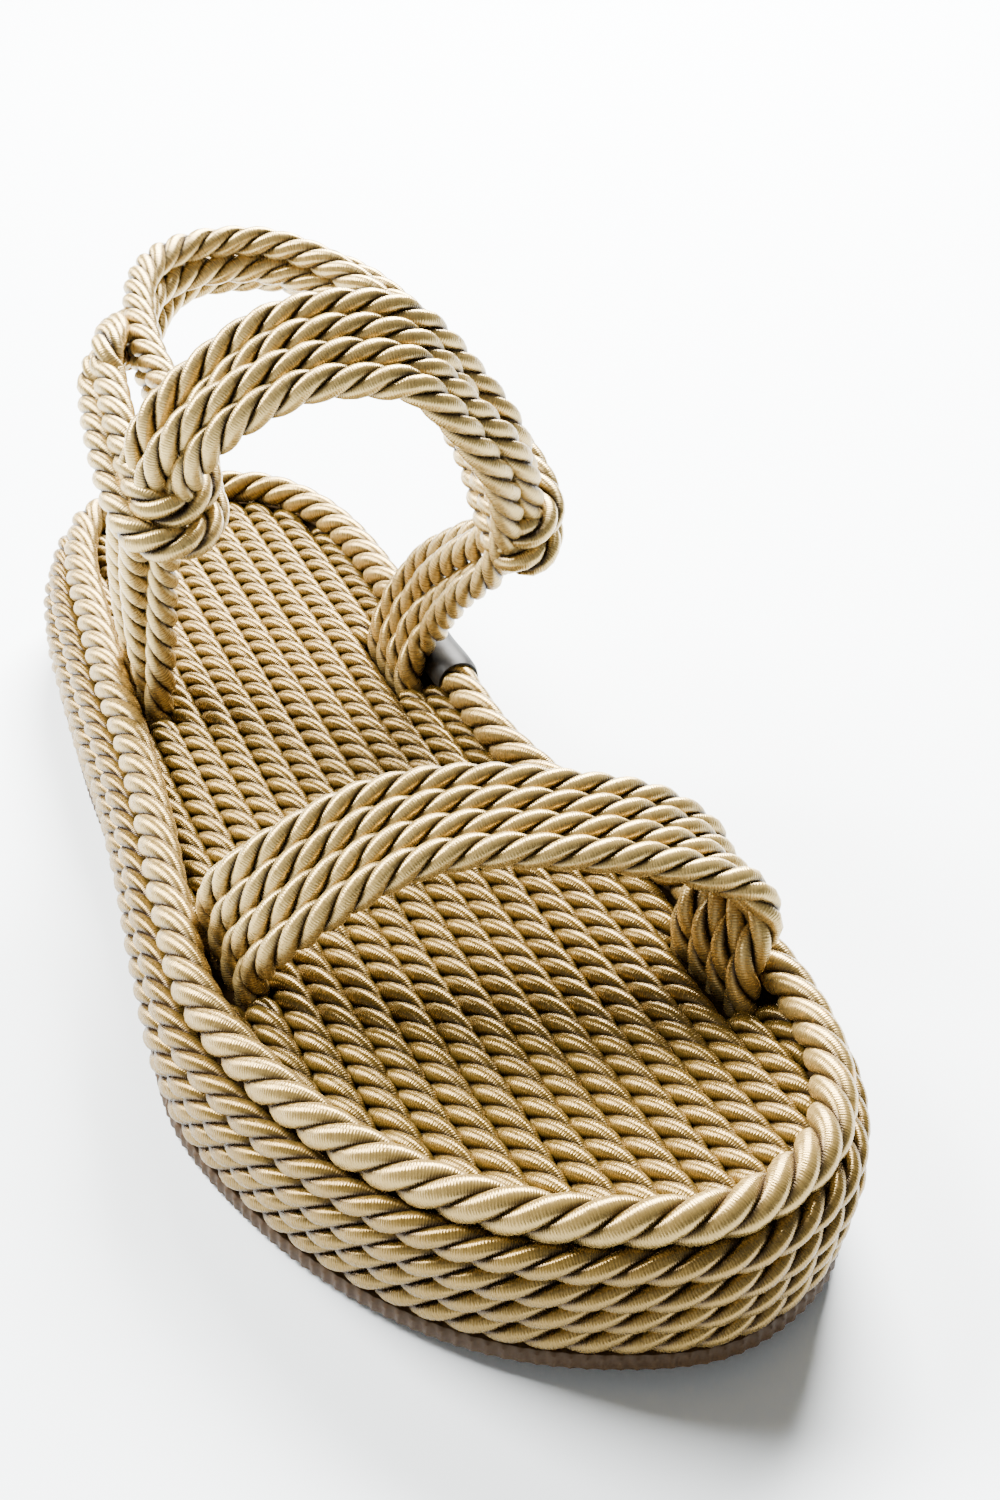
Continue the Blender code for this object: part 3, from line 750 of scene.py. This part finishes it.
def addBand(cords, form, phase):
    data = strapPoints(form)
    path, tilts, spread = data[:, :3], data[:, 3], data[:, 4]
    guide = (form["lean"], -1, 0)
    width, face = directions(path, False, guide, tilts)
    for k in range(strap["cords"]):
        across = (k - (strap["cords"] - 1) / 2) * strap["cord"]
        crowd = np.sqrt(np.maximum(0, 1 - spread**2)) * strap["cord"] * 0.5
        stagger = crowd * (1 if k % 2 else -1)
        line = path + width * (across * spread)[:, None] + face * stagger[:, None]
        w, f = directions(line, False, guide, tilts)
        thick = strap["cord"] * twist["strapSwell"]
        start = phase + twist["strapTurn"] * k
        cords.addCord(line, w, f, False, thick, twist["strapLay"], start)


toeCords = CordMesh()
addBand(toeCords, toeForm, twist["toeTurn"])
place(toeCords.finish("toeStrapCords", strapLook), "strap_rope", "toe_strap")

ankleCords = CordMesh()
addBand(ankleCords, ankleForm, twist["ankleTurn"])
data = strapPoints({**ankleForm, "rows": heelRows}, True)
loop = data[:, :3]
width, face = directions(loop, True, (0, 0, 1), data[:, 3])
for k in (-1, 1):
    line = loop + width * (k * strap["heelCord"] / 2)
    thick = strap["heelCord"] * twist["heelSwell"]
    start = twist["heelTurn"] * k
    ankleCords.addCord(line, width, face, True, thick, twist["strapLay"], start)
place(ankleCords.finish("ankleStrapCords", strapLook), "strap_rope", "ankle_straps")
print("straps built")


# Rubber outsole with fine upright ribs on its edge

rubber = {
    "ribs": 250,
    "ribPoints": 6,             # points of the edge for each rib
    "ribDepth": 0.45 * mm,
    "edgeRound": 0.5 * mm,
    "edgeRib": 0.3,             # share of the depth that is left on the rounded edges
    "dark": (0.032, 0.016, 0.005),
    "pale": (0.066, 0.034, 0.011),
    "speckScale": 1400.0,
    "rough": 0.6,
    "shine": 0.25,
    "speckBump": 0.3,
    "speckDepth": 0.0003,
}
rubberLook, nodes, links, shader = newMaterial("brownRubber")
speck = nodes.new("ShaderNodeTexNoise")
speck.inputs["Scale"].default_value = rubber["speckScale"]
speck.inputs["Detail"].default_value = 4.0
links.new(nodes.new("ShaderNodeTexCoord").outputs["Object"], speck.inputs["Vector"])
links.new(mixColour(nodes, links, speck.outputs["Fac"], rubber["dark"], rubber["pale"]),
          shader.inputs["Base Color"])
shader.inputs["Roughness"].default_value = rubber["rough"]
shader.inputs["Specular IOR Level"].default_value = rubber["shine"]
bump = nodes.new("ShaderNodeBump")
bump.inputs["Strength"].default_value = rubber["speckBump"]
bump.inputs["Distance"].default_value = rubber["speckDepth"]
links.new(speck.outputs["Fac"], bump.inputs["Height"])
links.new(bump.outputs["Normal"], shader.inputs["Normal"])
count = rubber["ribs"] * rubber["ribPoints"]
line = rimLine(count)
normal = outward(line)
wave = np.cos(2 * math.pi * np.arange(count) / rubber["ribPoints"])
rings = []
for level, inset, ribbed in ((0.0, rubber["edgeRound"], rubber["edgeRib"]),
                             (rubber["edgeRound"], 0.0, 1.0),
                             (sole["rubber"] - rubber["edgeRound"], 0.0, 1.0),
                             (sole["rubber"], rubber["edgeRound"], rubber["edgeRib"])):
    grow = flareAt(line, lowestLayer) + sole["rubberReach"] - inset
    grow = grow + ribbed * rubber["ribDepth"] * (wave - 1) / 2
    plan = line + normal * grow[:, None]
    rings.append(np.column_stack([plan, level + lift(plan[:, 1])]))
place(skin("rubberSole", rings, rubberLook), "outsole", "outsole")


# Dark sleeve round the rim beside the inner leg

sleeveLook, nodes, links, shader = newMaterial("darkSleeve")
shader.inputs["Base Color"].default_value = (*sleeve["colour"], 1)
shader.inputs["Roughness"].default_value = sleeve["rough"]
shader.inputs["Specular IOR Level"].default_value = sleeve["shine"]
folds = nodes.new("ShaderNodeTexNoise")
folds.inputs["Scale"].default_value = sleeve["foldScale"]
links.new(nodes.new("ShaderNodeTexCoord").outputs["Object"], folds.inputs["Vector"])
bump = nodes.new("ShaderNodeBump")
bump.inputs["Strength"].default_value = sleeve["foldBump"]
bump.inputs["Distance"].default_value = sleeve["foldDepth"]
links.new(folds.outputs["Fac"], bump.inputs["Height"])
links.new(bump.outputs["Normal"], shader.inputs["Normal"])
yMiddle = alongToY(ankleRows[-1][1]) - sleeve["ahead"]
line = wallRing(rimHeight, 0.0, 1600)
medial = np.array([p for p in line if p[0] > 0 and abs(p[1] - yMiddle) < sleeve["length"] / 2])
medial = medial[::4]
width, face = directions(medial, False, (0, 0, 1))
turns = np.radians(np.linspace(sleeve["from"], sleeve["to"], sleeve["around"]))
rings = []
for i, (p, w, f) in enumerate(zip(medial, width, face)):
    ends = min(i, len(medial) - 1 - i)
    curl = sleeve["wall"] * (0.5 if ends == 0 else 0.0)
    swell = sleeve["swell"] * math.sin(i * sleeve["swellTurn"])
    outer = sole["rimCord"] / 2 + sole["gap"] + sleeve["wall"] + swell - curl
    inner = sole["rimCord"] / 2 + sole["gap"] * 0.5 + curl * 0.3
    arc = [p + outer * (math.cos(t) * w + math.sin(t) * f) for t in turns]
    arc += [p + inner * (math.cos(t) * w + math.sin(t) * f) for t in turns[::-1]]
    rings.append(np.array(arc))
place(skin("rimSleeve", rings, sleeveLook), "sleeve", "rim_sleeve")
print("outsole and sleeve built")


# Floor, light and camera

studio = {
    "floor": (0.86, 0.92, 0.97),
    "floorSize": 12,
    "floorPlace": (0, 3.0, -0.00015),   # a hair under the outsole
    "floorRough": 0.55,
    "air": (1.0, 0.98, 0.94),
    "airLight": 0.25,
    "lamp": (1.0, 0.98, 0.945),
    "lamps": {  # watts, size, place, aim
        "key": (72.0, 0.56, (-0.60, 0.61, 0.82), (0, -0.03, 0.02)),
        "back": (134.0, 0.66, (0.48, 0.74, 0.78), (0, -0.03, 0.02)),
        "fill": (2.0, 0.9, (-0.75, -0.75, 0.55), (0, -0.05, 0.02)),
    },
}
floorLook, nodes, links, shader = newMaterial("paleFloor")
shader.inputs["Base Color"].default_value = (*studio["floor"], 1)
shader.inputs["Roughness"].default_value = studio["floorRough"]
bpy.ops.mesh.primitive_plane_add(size=studio["floorSize"])
floor = bpy.context.object
floor.name = "floor"
floor.location = studio["floorPlace"]
floor.data.materials.append(floorLook)

world = bpy.data.worlds.new("studio")
world.use_nodes = True
world.node_tree.nodes["Background"].inputs["Color"].default_value = (*studio["air"], 1)
world.node_tree.nodes["Background"].inputs["Strength"].default_value = studio["airLight"]
bpy.context.scene.world = world


def areaLight(name, power, size, where, aim):
    light = bpy.data.lights.new(name, "AREA")
    light.energy = power
    light.size = size
    light.color = studio["lamp"]
    lamp = bpy.data.objects.new(name, light)
    lamp.location = where
    lamp.rotation_euler = (Vector(aim) - Vector(where)).to_track_quat("-Z", "Y").to_euler()
    bpy.context.collection.objects.link(lamp)


for name, (power, size, where, aim) in studio["lamps"].items():
    areaLight(name, power, size, where, aim)

eye = {
    "place": (-0.0880, -0.2741, 0.2340),
    "yaw": 22.83,
    "pitch": 35.08,
    "roll": 0.25,
    "focalPixels": 1902.3,
    "frameHeight": 1500,
    "sensor": 36.0,
}
yaw, pitch = math.radians(eye["yaw"]), math.radians(eye["pitch"])
ahead = Vector((math.sin(yaw) * math.cos(pitch), math.cos(yaw) * math.cos(pitch), -math.sin(pitch)))
lens = bpy.data.cameras.new("view")
lens.sensor_width = eye["sensor"]
lens.lens = eye["focalPixels"] / eye["frameHeight"] * eye["sensor"]
lens.clip_start = 0.01
camera = bpy.data.objects.new("view", lens)
camera.rotation_euler = ahead.to_track_quat("-Z", "Y").to_euler()
camera.rotation_euler.rotate_axis("Z", math.radians(eye["roll"]))
camera.location = Vector(eye["place"]) + Vector(shift)
bpy.context.collection.objects.link(camera)
bpy.context.scene.camera = camera
print("stage and camera set")
